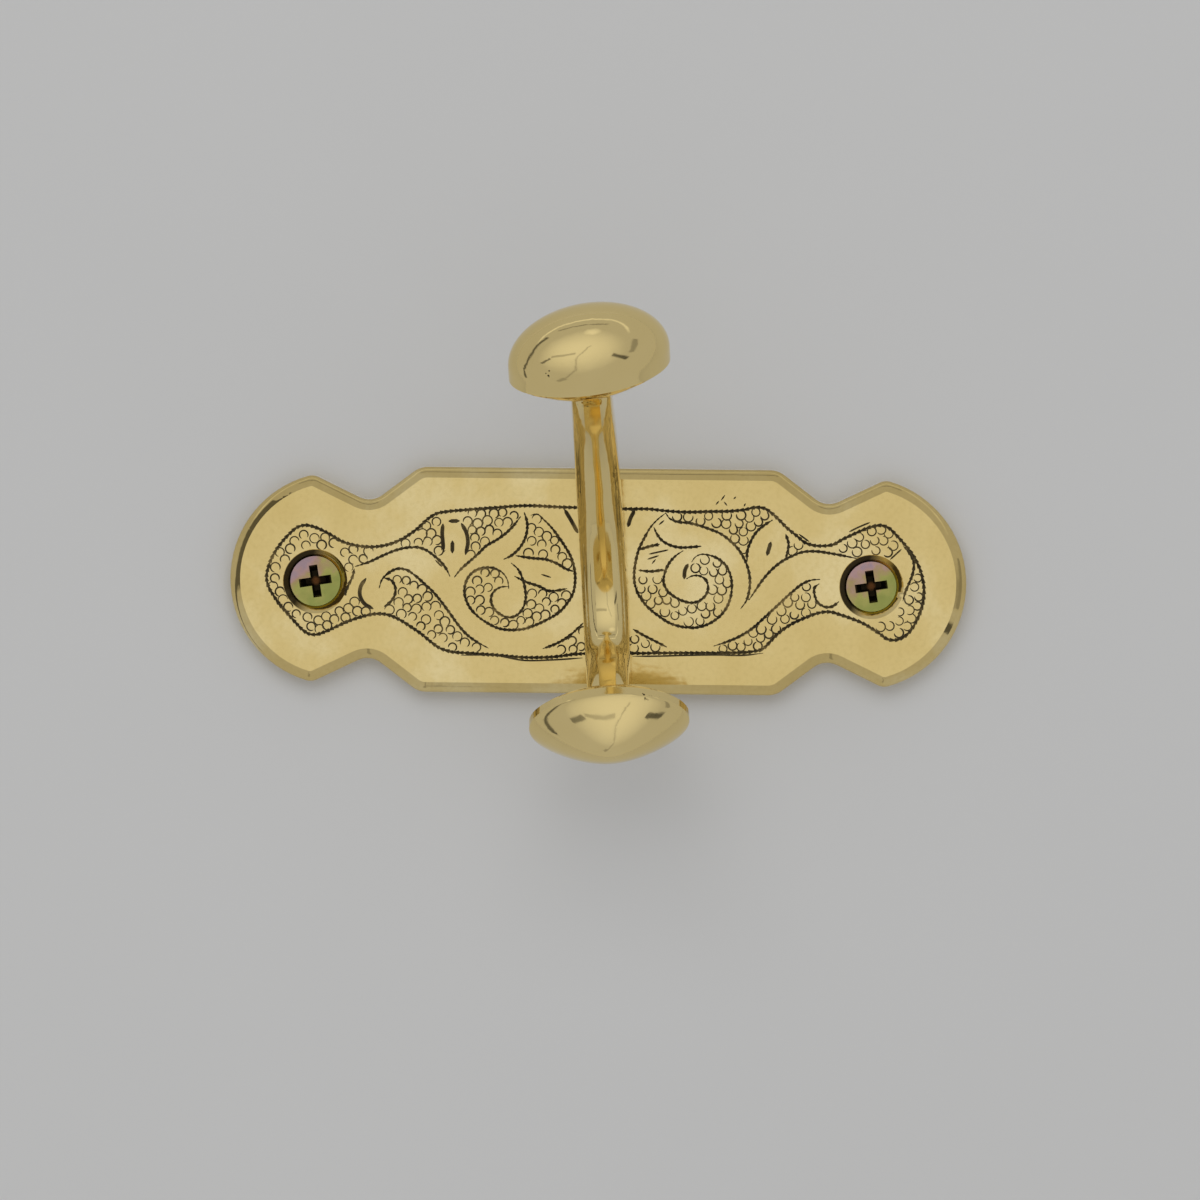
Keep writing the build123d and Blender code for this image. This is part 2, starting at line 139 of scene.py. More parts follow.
LINES = [
    # left panel: stem, leaf, the large volute with its eye, veins
    [(-33.0, 1.3), (-31.2, 1.9), (-29.1, 2.9), (-27.4, 3.6), (-25.9, 3.95), (-24.5, 4.0), (-23.5, 3.7),
     (-22.3, 2.9), (-21.3, 2.0), (-20.6, 1.1), (-20.1, 0.1)],
    [(-19.5, 0.0), (-18.7, 1.0), (-17.4, 2.2), (-16.2, 3.3), (-15.2, 4.3), (-14.0, 5.0), (-12.6, 6.0),
     (-11.6, 7.0), (-10.6, 8.3)],
    [(-10.1, 8.9), (-9.7, 7.6), (-9.7, 6.3), (-10.1, 5.0), (-10.9, 3.8), (-11.8, 3.0), (-12.8, 2.5)],
    [(-9.2, 8.5), (-8.4, 8.7), (-7.4, 7.9), (-6.4, 6.9), (-5.4, 5.6), (-4.5, 4.3), (-3.7, 2.9),
     (-3.2, 1.2), (-3.1, -0.5), (-3.4, -2.1), (-4.1, -3.3), (-5.3, -4.7), (-6.6, -5.5), (-8.2, -6.3),
     (-9.8, -6.9), (-11.6, -7.1), (-13.4, -6.9), (-15.1, -6.1), (-16.6, -5.0), (-17.6, -3.7),
     (-18.1, -2.2), (-18.0, -0.9), (-17.4, 0.3), (-16.5, 1.0), (-15.2, 1.35), (-13.9, 1.2),
     (-12.9, 0.6), (-12.3, -0.3), (-12.1, -1.5)],
    [(-12.1, -1.2), (-13.2, -1.3), (-14.2, -2.0), (-14.5, -3.0), (-14.1, -4.2), (-13.2, -5.0),
     (-12.0, -5.4), (-11.0, -5.1), (-10.2, -4.2), (-9.8, -3.0), (-9.9, -1.4), (-10.3, 0.1),
     (-10.9, 1.2), (-11.8, 2.0)],
    [(-11.2, 3.0), (-9.0, 2.7), (-7.0, 2.5), (-5.6, 2.0), (-4.4, 1.3), (-3.2, 0.9)],
    [(-11.3, 0.2), (-9.9, -0.5), (-7.8, -1.2), (-6.8, -1.7), (-5.4, -1.65), (-4.2, -1.4)],
    [(-29.7, -1.6), (-29.3, -0.4), (-28.4, 0.5), (-27.3, 1.05), (-26.2, 1.0), (-25.0, 0.3),
     (-23.6, -0.9), (-22.3, -2.1), (-21.2, -3.4), (-20.0, -5.0), (-18.9, -6.5), (-17.6, -7.9),
     (-16.3, -8.8), (-14.8, -9.6)],
    [(-29.1, -0.2), (-28.1, -0.5), (-27.5, -1.5), (-27.6, -2.6), (-28.2, -3.5), (-29.0, -4.1)],
    [(-33.1, 1.0), (-33.3, 0.0), (-33.9, -1.3), (-34.4, -2.6)],
    [(-1.9, -6.0), (-3.0, -7.1), (-4.2, -8.1), (-5.6, -8.9), (-7.4, -9.6)],
    # right panel: the large volute with its eye, leaf, teardrop, stems, crescent round the screw
    [(9.1, 9.0), (8.0, 8.1), (7.1, 7.1), (6.3, 5.7), (5.5, 4.0), (5.1, 2.4), (4.9, 0.8), (5.0, -0.7),
     (5.4, -1.9), (6.1, -3.0), (7.1, -4.1), (8.3, -5.0), (9.7, -5.9), (11.3, -6.4), (13.0, -6.55),
     (14.6, -6.2), (15.9, -5.5), (16.9, -4.6), (17.7, -3.3), (18.1, -1.9), (18.15, -0.5),
     (17.9, 0.9), (17.2, 2.1), (16.2, 2.9), (15.0, 3.35), (13.8, 3.4), (13.1, 3.0), (12.7, 2.4)],
    [(12.0, 0.1), (12.8, 0.5), (13.8, 0.5), (14.6, 0.0), (14.95, -0.9), (14.7, -2.0), (13.9, -2.8),
     (12.8, -3.15), (11.5, -2.9), (10.3, -2.3), (9.4, -1.5), (8.9, -0.4), (9.1, 1.0), (9.7, 2.3),
     (10.5, 3.2), (11.5, 3.9)],
    [(9.1, 9.0), (9.6, 8.3), (10.5, 7.85), (12.0, 7.7), (13.5, 7.4), (15.0, 6.9), (16.5, 6.3),
     (17.9, 5.3), (18.9, 4.3), (19.7, 3.1), (20.3, 1.7), (20.6, 0.2), (20.5, -1.6), (20.2, -2.7),
     (19.4, -3.9)],
    [(7.5, 7.1), (7.9, 6.2), (8.6, 5.3), (9.6, 4.7), (11.0, 4.35), (12.5, 4.4), (14.0, 4.55)],
    [(5.6, 4.0), (6.8, 4.4), (8.3, 4.75)],
    [(5.5, 1.2), (7.0, 1.05), (9.0, 1.3)],
    [(23.6, 8.2), (22.5, 7.5), (21.4, 6.5), (20.6, 5.1), (20.2, 3.8), (20.2, 2.6)],
    [(25.4, 6.3), (25.8, 5.0), (25.7, 3.9), (25.4, 3.0)],
    [(20.5, -2.7), (21.3, -1.5), (22.3, 0.0), (23.5, 1.4), (24.8, 2.5), (26.2, 3.3), (27.8, 3.9),
     (29.5, 4.0), (31.5, 3.75), (33.5, 3.4), (35.0, 3.1)],
    [(15.8, -9.0), (17.3, -8.5), (19.0, -7.8), (20.8, -6.7), (22.8, -4.9), (24.6, -3.2), (26.3, -1.6),
     (27.8, -0.4), (29.0, 0.1), (30.1, 0.2)],
    [(30.0, -0.4), (29.4, -0.9), (29.4, -1.9), (29.8, -2.9), (30.7, -3.5), (31.7, -3.5), (32.7, -2.8)],
    [(41.4, 4.8), (42.2, 3.9), (42.8, 2.6), (42.7, 1.2), (42.2, -0.2), (41.7, -1.4), (41.4, -2.6)],
    [(4.8, -6.8), (6.0, -7.5), (7.6, -8.3), (9.4, -9.2)],
]
BOLD_LINES = [
    [(-21.1, 7.2), (-21.2, 6.0), (-21.1, 4.8), (-21.0, 3.6)],
    [(-18.6, 7.3), (-17.9, 6.0), (-17.7, 4.8), (-18.0, 3.1)],
    [(-19.8, 4.9), (-19.8, 3.3)],
    [(-20.3, 7.6), (-18.9, 7.65)],
    [(-31.5, -0.3), (-32.2, -1.4), (-32.3, -2.6), (-31.7, -3.7), (-30.5, -4.4)],
    [(-4.6, 9.3), (-3.8, 8.0), (-2.8, 6.2)],
    [(4.9, 9.3), (4.4, 8.4), (4.0, 7.1)],
    [(12.2, 2.1), (11.8, 1.3), (11.7, 0.1)],
    [(23.4, 5.2), (22.9, 3.4)],
]
FINE_LINES = [
    [(15.9, 10.2), (16.3, 10.7)], [(16.6, 10.8), (17.1, 11.5)], [(17.0, 10.6), (17.4, 10.1)],
    [(18.3, 11.0), (18.6, 11.3)], [(19.7, 10.0), (19.9, 10.4)], [(27.2, 6.3), (28.6, 5.3)],
    [(34.0, 6.7), (35.4, 7.4), (36.8, 8.0)], [(-22.1, 2.3), (-21.2, 1.4)], [(-7.7, 0.5), (-6.4, 0.1)],
    [(8.2, 7.4), (8.9, 8.0)], [(6.9, 3.4), (9.5, 4.0)], [(6.7, 2.7), (8.2, 3.2)],
    [(7.3, 2.1), (7.8, 2.7)], [(41.1, 4.4), (39.6, 3.0)],
    [(4.8, -10.5), (8, -10.45), (12, -10.3), (16, -10.2), (20, -10.2), (22.5, -9.9)],
    [(-18.5, -10.6), (-14, -10.55), (-10, -11.2), (-6, -11.1), (-2, -10.8)],
]
# Grounds filled with ring-punch marks: an outline, then the way each mark's closed side faces
LEFT_SIDE = 65
RIGHT_SIDE = -80
GROUNDS = [
    ([(-34.0, 4.6), (-36.0, 5.4), (-38.4, 6.5), (-40.2, 6.6), (-42.4, 5.0), (-44.3, 2.2), (-44.8, -0.4),
      (-43.6, -3.2), (-41.0, -6.2), (-39.0, -7.7), (-37.0, -7.3), (-34.0, -5.9), (-31.0, -5.0),
      (-33.2, -3.2), (-34.8, -3.2), (-33.6, 0.6), (-31.0, 2.2), (-31.2, 4.0)], 120),
    ([(-26.6, 4.4), (-24.4, 6.6), (-22.4, 8.3), (-21.4, 7.9), (-21.4, 3.2), (-22.6, 3.2),
      (-24.4, 4.3)], LEFT_SIDE),
    ([(-18.4, 7.8), (-17.6, 8.7), (-11.4, 9.2), (-10.8, 8.2), (-12.4, 6.3), (-15.4, 4.4),
      (-17.6, 2.4)], LEFT_SIDE),
    ([(-9.4, 8.2), (-8.4, 8.4), (-6.0, 6.2), (-4.0, 3.2), (-3.4, 1.6), (-5.6, 2.3), (-9.8, 2.9),
      (-9.6, 5.6)], LEFT_SIDE),
    ([(-17.8, -1.0), (-16.4, 0.8), (-14.4, 1.1), (-12.6, 0.0), (-12.4, -1.0), (-14.4, -1.6),
      (-14.8, -3.4),
      (-13.6, -5.0), (-11.8, -5.8), (-10.2, -4.8), (-9.6, -3.0), (-9.5, -0.8), (-7.0, -1.9),
      (-4.2, -1.8),
      (-3.7, -2.4), (-5.4, -4.4), (-8.2, -6.0), (-11.6, -6.8), (-15.0, -5.8),
      (-17.4, -3.4)], LEFT_SIDE),
    ([(-28.8, 0.0), (-27.3, 0.8), (-25.2, 0.2), (-22.2, -2.4), (-19.8, -5.4), (-17.4, -8.3),
      (-15.4, -9.6),
      (-18.0, -10.0), (-21.4, -9.3), (-24.2, -7.2), (-27.0, -5.5), (-29.4, -4.9), (-27.6, -3.4),
      (-27.2, -1.4)], LEFT_SIDE),
    ([(-1.6, -6.2), (-3.2, -7.6), (-6.0, -9.4), (-5.0, -10.3), (-1.6, -10.0)], LEFT_SIDE),
    ([(9.8, 9.0), (15.0, 9.0), (21.0, 9.4), (22.8, 9.0), (22.0, 7.6), (20.2, 5.0), (20.0, 3.6),
      (18.2, 5.6),
      (15.4, 7.0), (10.6, 8.2)], RIGHT_SIDE),
    ([(5.3, 0.8), (8.6, 1.0), (8.6, -0.6), (9.2, -2.0), (11.4, -3.3), (13.4, -3.3), (14.9, -2.2),
      (15.2, -0.6),
      (14.0, 0.8), (12.4, 0.6), (12.5, 2.2), (13.6, 3.1), (15.4, 3.0), (17.2, 1.6), (17.9, -0.8),
      (17.2, -3.6),
      (15.4, -5.6), (13.0, -6.2), (10.0, -5.7), (7.2, -3.9), (5.4, -1.4)], RIGHT_SIDE),
    ([(17.0, -9.4), (20.8, -7.2), (24.8, -3.6), (28.0, -0.6), (29.4, -0.4), (29.0, -1.8), (30.2, -3.8),
      (28.6, -4.6), (25.0, -6.4), (22.6, -9.0), (20.0, -9.5)], RIGHT_SIDE),
    ([(26.0, 5.6), (26.0, 3.8), (29.4, 4.2), (27.6, 5.2)], RIGHT_SIDE),
    ([(32.4, 4.9), (34.4, 5.9), (38.2, 7.3), (39.4, 6.9), (41.0, 5.0), (39.2, 3.4), (36.4, 4.2),
      (33.6, 3.7)], -45),
    ([(42.6, 0.2), (43.8, 1.0), (44.0, -2.0), (43.4, -4.6), (41.8, -7.0), (40.4, -7.6), (37.6, -6.2),
      (39.6, -5.2),
      (41.4, -3.0)], -30),
    ([(4.8, -7.2), (7.6, -8.6), (8.6, -9.6), (4.8, -9.8)], RIGHT_SIDE),
]


def curve_points(points, step):
    """A smooth line through the points, sampled about every step."""
    p = np.array(points, float)
    if len(p) == 2:
        count = max(2, int(math.dist(points[0], points[1]) / step))
        return np.linspace(p[0], p[1], count + 1)
    gap = np.linalg.norm(np.diff(p, axis=0), axis=1)
    t = np.concatenate(([0.0], np.cumsum(gap)))
    slope = np.gradient(p, t, axis=0)
    out = [p[:1]]
    for i, length in enumerate(gap):
        n = max(1, round(length / step))
        u = (np.arange(1, n + 1) / n)[:, None]
        h00, h10 = 2 * u**3 - 3 * u**2 + 1, u**3 - 2 * u**2 + u
        h01, h11 = 3 * u**2 - 2 * u**3, u**3 - u**2
        out.append(h00 * p[i] + h10 * length * slope[i] + h01 * p[i + 1] + h11 * length * slope[i + 1])
    return np.concatenate(out)


def groove(path, half, deep, rng, bite=0.0, taper=True):
    """A V-groove: its path, the half width and the depth at each point of it."""
    run = np.concatenate(([0.0], np.cumsum(np.linalg.norm(np.diff(path, axis=0), axis=1))))
    u = run / run[-1]
    width = np.full(len(path), half)
    if taper:
        width *= np.minimum(1.0, TAPER_TIP + TAPER_RISE * np.sin(np.pi * np.clip(u, 0, 1)))
    if bite:
        pitch = rng.uniform(*NICK_PITCH)
        phase = rng.random()
        width *= 1 - bite + NICK_SWELL * bite * ((run / pitch + phase) % 1.0)
    return path, width, deep * width / half


def engraving():
    """Every cut of the engraving as a V-groove."""
    rng = random.Random(7)
    cuts = []
    half, deep, step, bite = BORDER_CUT
    for points in (BORDER_LEFT, BORDER_RIGHT):
        cuts.append(groove(curve_points(points, step), half, deep, rng, bite, taper=False))
    for group, cut in ((LINES, LINE_CUT), (BOLD_LINES, BOLD_CUT), (FINE_LINES, FINE_CUT)):
        half, deep, step, bite = cut
        for points in group:
            cuts.append(groove(curve_points(points, step), half, deep, rng, bite))
    return cuts


def inside(x, z, outline):
    """Whether a point lies in a closed outline."""
    hit = False
    for (x0, z0), (x1, z1) in zip(outline, outline[1:] + outline[:1]):
        if (z0 > z) != (z1 > z) and x < x0 + (z - z0) * (x1 - x0) / (z1 - z0):
            hit = not hit
    return hit


def ring_marks(cuts):
    """Ring-punch marks on the grounds between the lines: open rings, packed by hand, never quite alike."""
    rng = random.Random(21)
    line_tree = KDTree(sum(len(path) for path, _, _ in cuts))
    for n, q in enumerate(np.concatenate([path for path, _, _ in cuts])):
        line_tree.insert((q[0], q[1], 0), n)
    line_tree.balance()
    marks = []
    for outline, side in GROUNDS:
        xs, zs = [q[0] for q in outline], [q[1] for q in outline]
        placed = []
        for _ in range(RING_TRIES):
            x, z = rng.uniform(min(xs), max(xs)), rng.uniform(min(zs), max(zs))
            hole = min(math.dist((x, z + DRAWN_RISE), h) for h in HOLES)
            if hole < RING_TO_HOLE or not inside(x, z, outline):
                continue
            if line_tree.find((x, z, 0))[2] < RING_TO_LINE:
                continue
            if any(math.dist((x, z), q) < RING_SPACING for q in placed):
                continue
            placed.append((x, z))
        for x, z in placed:
            r = rng.uniform(*RING_RADIUS)
            turn = side + rng.uniform(*RING_TURN)
            sweep = rng.uniform(*RING_SWEEP)
            angles = np.radians(np.linspace(turn - sweep, turn + sweep, RING_POINTS))
            path = np.stack((x + r * np.cos(angles), z + r * np.sin(angles)), axis=1)
            half = rng.uniform(*RING_HALF)
            marks.append(groove(path, half, rng.uniform(*RING_DEPTH), rng))
    return marks


def mesh_of(name, verts, faces):
    """A mesh in metres from points in millimetres, with only the points that its faces use."""
    used = sorted({v for face in faces for v in face})
    number = {v: i for i, v in enumerate(used)}
    points = [tuple(float(c) * MM for c in verts[v]) for v in used]
    mesh = bpy.data.meshes.new(name)
    mesh.from_pydata(points, [], [[number[v] for v in face] for face in faces])
    return mesh


def joined(co):
    """For each point, the number of the first point in the same place."""
    index = {}
    return [index.setdefault(tuple(q), i) for i, q in enumerate(np.round(co, 4))]


def kept_faces(source, co):
    """The CAD plate's faces without its front face and the cuts in that."""
    keep = []
    for face in source.polygons:
        ys = co[list(face.vertices), 1]
        on_face = np.all(np.abs(ys - FACE_Y) < TOUCH)
        on_floor = np.all(np.abs(ys - FLOOR_Y) < TOUCH)
        on_wall = abs(face.normal.y) < 0.02 and np.all(ys < FLOOR_Y + TOUCH)
        if not (on_face or on_floor or on_wall):
            keep.append(face)
    return keep


def rim_loops(keep, merged):
    """The open edges of the kept faces, as closed loops of point numbers."""
    edges = {}
    for face in keep:
        ids = [merged[v] for v in face.vertices]
        for a, b in zip(ids, ids[1:] + ids[:1]):
            if (b, a) in edges:
                del edges[(b, a)]
            else:
                edges[(a, b)] = True
    follow = dict(edges.keys())
    loops = []
    while follow:
        start, after = next(iter(follow.items()))
        loop = [start]
        while after != start:
            loop.append(after)
            after = follow.pop(after)
        follow.pop(start, None)
        loops.append(loop)
    return loops


def rim_outlines(co, loops):
    """The loops' points (x, z), each loop turning left, their numbers, and which points each loop has."""
    points, rim_ids, areas = [], [], []
    for loop in loops:
        rim = [(co[v][0], co[v][2]) for v in loop]
        turn = sum(a[0] * b[1] - b[0] * a[1] for a, b in zip(rim, rim[1:] + rim[:1]))
        first = len(points)
        points += rim if turn > 0 else rim[::-1]
        rim_ids += loop if turn > 0 else loop[::-1]
        areas.append(list(range(first, len(points))))
    return points, rim_ids, areas


def groove_lines(cuts, points):
    """Adds each groove's middle, banks and tips to the face's points, and gives the lines along them."""
    lines = []
    for path, width, _ in cuts:
        middle = path + np.array((0.0, DRAWN_RISE))
        along = np.gradient(middle, axis=0)
        along /= np.linalg.norm(along, axis=1)[:, None]
        across = np.stack((-along[:, 1], along[:, 0]), axis=1)
        rows = [middle, middle + across * width[:, None], middle - across * width[:, None]]
        tipped = len(rows)
        if np.ptp(width) > 0.1:
            # level points beside a nicked line, so that its nicks end there
            reach = width.max() + NICK_GUARD
            rows += [middle + across * reach, middle - across * reach]
        tips = [middle[0] - along[0] * width[0], middle[-1] + along[-1] * width[-1]]
        first = len(points)
        n = len(middle)
        points += [tuple(q) for row in rows for q in row] + [tuple(q) for q in tips]
        tip = first + len(rows) * n
        for row in range(len(rows)):
            ids = [first + row * n + i for i in range(n)]
            if row < tipped:
                ids = [tip] + ids + [tip + 1]
            lines += list(zip(ids, ids[1:]))
    return lines


def groove_depth(flat, cuts):
    """Depth of the engraving at each point of the face."""
    starts, ends, widths, deeps = [], [], [], []
    for path, width, deep in cuts:
        middle = path + np.array((0.0, DRAWN_RISE))
        starts.append(middle[:-1])
        ends.append(middle[1:])
        widths.append(np.stack((width[:-1], width[1:]), axis=1))
        deeps.append(np.stack((deep[:-1], deep[1:]), axis=1))
    a, b = np.concatenate(starts), np.concatenate(ends)
    w, d = np.concatenate(widths), np.concatenate(deeps)
    tree = KDTree(len(a))
    for i, q in enumerate((a + b) / 2):
        tree.insert((q[0], q[1], 0), i)
    tree.balance()
    depth = np.zeros(len(flat))
    for n, q in enumerate(flat):
        near = [i for _, i, _ in tree.find_range((q[0], q[1], 0), WIDEST_CUT)]
        if not near:
            continue
        run = b[near] - a[near]
        t = np.clip(((q - a[near]) * run).sum(1) / (run * run).sum(1), 0, 1)
        away = np.linalg.norm(q - a[near] - run * t[:, None], axis=1)
        half = w[near, 0] + (w[near, 1] - w[near, 0]) * t
        full = d[near, 0] + (d[near, 1] - d[near, 0]) * t
        depth[n] = max(0.0, float(np.max(full * (1 - away / half))))
    depth[depth < LEAST_DEPTH] = 0.0
    return depth


def filed_edge(co, face, ids, normals, verts):
    """Files a face of the CAD plate's round front edge flatter: moves its points, gives its normals."""
    x, _, z = co[ids].mean(axis=0)
    tilt = np.degrees(np.arccos(np.clip(-normals[:, 1], -1, 1)))
    in_front = co[ids, 1].max() < FACE_Y + EDGE_ROUND + TOUCH
    on_round = in_front and tilt.max() > 2 and -face.normal.y > 0.03
    if not on_round or min(math.dist((x, z), hole) for hole in HOLES) < SINK_REACH:
        return normals
    share = np.linspace(0, 1, BEVEL_SAMPLES)
    slope = np.radians(BEVEL[0] + (BEVEL[1] - BEVEL[0]) * share**BEVEL_BEND)
    outward, down = np.cumsum(np.cos(slope)), np.cumsum(np.sin(slope))
    outward, down = (EDGE_ROUND * (run - run[0]) / (run[-1] - run[0]) for run in (outward, down))
    steepest = normals[np.argmax(tilt)]
    along = np.degrees(np.arccos(np.clip(1 - (co[ids, 1] - FACE_Y) / EDGE_ROUND, 0, 1)))
    turned = []
    for v, normal, lean, angle in zip(ids, normals, tilt, along):
        out = np.array((normal[0], normal[2])) if lean > 1 else np.array((steepest[0], steepest[2]))
        out /= np.linalg.norm(out)
        # both ends of the round stay where they are
        if 1 < angle < 89:
            step = np.interp(angle / 90, share, outward) - EDGE_ROUND * math.sin(math.radians(angle))
            at = co[v, [0, 2]] + out * step
            verts[v] = (at[0], FACE_Y + np.interp(angle / 90, share, down), at[1])
        here = np.interp(angle / 90, share, slope)
        turned.append((out[0] * math.sin(here), -math.cos(here), out[1] * math.sin(here)))
    return turned


def plate_mesh(cuts):
    """The CAD plate with a filed edge and its face cut again, with V-grooves and ring marks in it."""
    source = nodes["backplate"].data
    co = np.array([v.co for v in source.vertices]) / MM
    corner_normals = np.array([n.vector for n in source.corner_normals])
    merged = joined(co)
    keep = kept_faces(source, co)
    points, rim_ids, areas = rim_outlines(co, rim_loops(keep, merged))
    lines = groove_lines(cuts, points)
    out_points, _, out_faces, sources, _, face_ids = delaunay_2d_cdt(
        [Vector(q) for q in points], lines, areas, 0, 1e-5, True
    )
    outer = max(range(len(areas)), key=lambda i: np.ptp([points[v][0] for v in areas[i]]))
    flat = np.array([(q.x, q.y) for q in out_points])
    depth = groove_depth(flat, cuts)

    # the rim's points are the CAD plate's own, so that the new face is joined to its edge
    verts = [tuple(q) for q in co]
    base = len(verts)
    verts += [(x, FACE_Y + d, z) for (x, z), d in zip(flat, depth)]
    number = []
    for i, ids in enumerate(sources):
        rim = [rim_ids[k] for k in ids if k < len(rim_ids)]
        number.append(rim[0] if rim else base + i)
    faces, normals, kind = [], [], []
    for face in keep:
        ids = [merged[v] for v in face.vertices]
        turned = filed_edge(co, face, ids, corner_normals[list(face.loop_indices)], verts)
        faces.append(ids)
        normals += list(turned)
        kind.append(0)
    for tri, ids in zip(out_faces, face_ids):
        if set(ids) != {outer}:
            continue
        tri = [number[v] for v in tri]
        a, b, c = (np.array(verts[v]) for v in tri)
        up = np.cross(b - a, c - a)
        if up[1] > 0:
            tri.reverse()
            up = -up
        size = np.linalg.norm(up)
        if size < 1e-9:
            continue
        deep = max(verts[v][1] for v in tri) > FACE_Y + 0.005
        faces.append(tri)
        normals += [up / size if deep else (0, -1, 0)] * 3
        kind.append(1 if deep else 0)
    mesh = mesh_of("engraved_plate", verts, faces)
    mesh.polygons.foreach_set("material_index", kind)
    mesh.polygons.foreach_set("use_smooth", [True] * len(faces))
    mesh.normals_split_custom_set([tuple(n) for n in normals])
    return mesh


def cut_thread(hx, hz, verts, faces):
    """Adds a screw's thread and gimlet point, about an axis at hx and hz, to a mesh's points and faces."""
    rows = int((POINT_END - TIP_LENGTH - THREAD_START) / THREAD_STEP)
    base = len(verts)
    for row in range(rows + 1):
        y = THREAD_START + row * THREAD_STEP
        left = min(1.0, (POINT_END - y) / (POINT_END - THREAD_END))
        lead = min(1.0, (y - THREAD_START) / THREAD_LEAD)
        core = PLAIN_R + (CORE_R - PLAIN_R) * lead
        for k in range(THREAD_SIDES):
            angle = 2 * math.pi * k / THREAD_SIDES
            wave = (y / PITCH - k / THREAD_SIDES) % 1.0
            ridge = max(0.0, 1 - abs(wave - 0.5) / RIDGE_HALF) ** RIDGE_POWER
            r = (core + (SHANK_R - core) * ridge * lead) * (TIP_SHARE + (1 - TIP_SHARE) * left)
            verts.append((hx + r * math.cos(angle), y, hz + r * math.sin(angle)))
    verts.append((hx, POINT_END, hz))
    tip = len(verts) - 1
    for row in range(rows):
        for k in range(THREAD_SIDES):
            a = base + row * THREAD_SIDES + k
            b = base + row * THREAD_SIDES + (k + 1) % THREAD_SIDES
            faces.append([a, a + THREAD_SIDES, b + THREAD_SIDES, b])
    for k in range(THREAD_SIDES):
        a = base + rows * THREAD_SIDES + k
        faces.append([a, tip, base + rows * THREAD_SIDES + (k + 1) % THREAD_SIDES])


def screw_mesh():
    """Both screws: the CAD heads and necks, with a cut thread and a gimlet point below them."""
    source = nodes["mounting_screws"].data
    co = np.array([v.co for v in source.vertices]) / MM
    corner_normals = np.array([n.vector for n in source.corner_normals])
    merged = joined(co)
    verts = [tuple(q) for q in co]
    faces, normals = [], []
    for face in source.polygons:
        if np.all(co[list(face.vertices), 1] < THREAD_START + TOUCH):
            faces.append([merged[v] for v in face.vertices])
            normals += [tuple(corner_normals[i]) for i in face.loop_indices]
    heads = len(faces)
    for hx, hz in HOLES:
        cut_thread(hx, hz, verts, faces)
    mesh = mesh_of("threaded_screws", verts, faces)
    mesh.update()
    for face in mesh.polygons[heads:]:
        normals += [tuple(face.normal)] * len(face.vertices)
    mesh.normals_split_custom_set(normals)
    return mesh


def hook_mesh():
    """The CAD hook, its strap filed to a crown in front: highest along its middle, level at both knobs."""
    source = nodes["hook"].data
    work = bmesh.new()
    work.from_mesh(source)
    given = work.loops.layers.float_vector.new("given")
    for face, polygon in zip(work.faces, source.polygons):
        for corner, number in zip(face.loops, polygon.loop_indices):
            corner[given] = source.corner_normals[number].vector
    bmesh.ops.remove_doubles(work, verts=work.verts[:], dist=0.0005 * MM)

    lean = math.radians(STRAP_LEAN)
    across = Vector((math.cos(lean), 0.0, math.sin(lean)))
    root = Vector((STRAP_ROOT[0], 0.0, STRAP_ROOT[1])) * MM

    def outward(vert):
        """The mean of the normals at a point."""
        return sum((corner[given] for corner in vert.link_loops), Vector()).normalized()

    def share(vert):
        """1 on the strap's front, falling to 0 towards its back and at the knobs."""
        part = min(1.0, max(0.0, -outward(vert).y / FRONT_FADE))
        for x, y, z, reach in KNOBS:
            far = (vert.co / MM - Vector((x, y, z))).length
            part *= min(1.0, max(0.0, (far - reach) / KNOB_FADE))
        return part

    # lines along the strap, so that its flat front can bend
    for cut in range(-CROWN_LINES, CROWN_LINES + 1):
        strap = [face for face in work.faces if any(share(vert) > 0 for vert in face.verts)]
        around = {part for face in strap for part in (*face.verts, *face.edges)}
        at = root + across * (cut * CROWN_HALF / CROWN_LINES * MM)
        bmesh.ops.bisect_plane(work, geom=[*strap, *around], plane_co=at, plane_no=across)
    bmesh.ops.triangulate(work, faces=work.faces[:])

    moves = []
    for vert in work.verts:
        part = share(vert)
        if part == 0:
            continue
        off = across.dot(vert.co / MM - root / MM)
        side = max(-CROWN_HALF, min(CROWN_HALF, off))
        out = outward(vert)
        drop = (out - across * out.dot(across)) * (part * side**2 / (2 * CROWN_ROUND) * MM)
        tilt = part * side / CROWN_ROUND if abs(off) <= CROWN_HALF + 1e-6 else 0.0
        moves.append((vert, drop, tilt))
    for vert, drop, tilt in moves:
        vert.co -= drop
        for corner in vert.link_loops:
            normal = corner[given]
            corner[given] = (normal + (across - normal * across.dot(normal)) * tilt).normalized()

    normals = [tuple(corner[given]) for face in work.faces for corner in face.loops]
    work.loops.layers.float_vector.remove(given)
    mesh = bpy.data.meshes.new("filed_hook")
    work.to_mesh(mesh)
    work.free()
    mesh.normals_split_custom_set(normals)
    return mesh


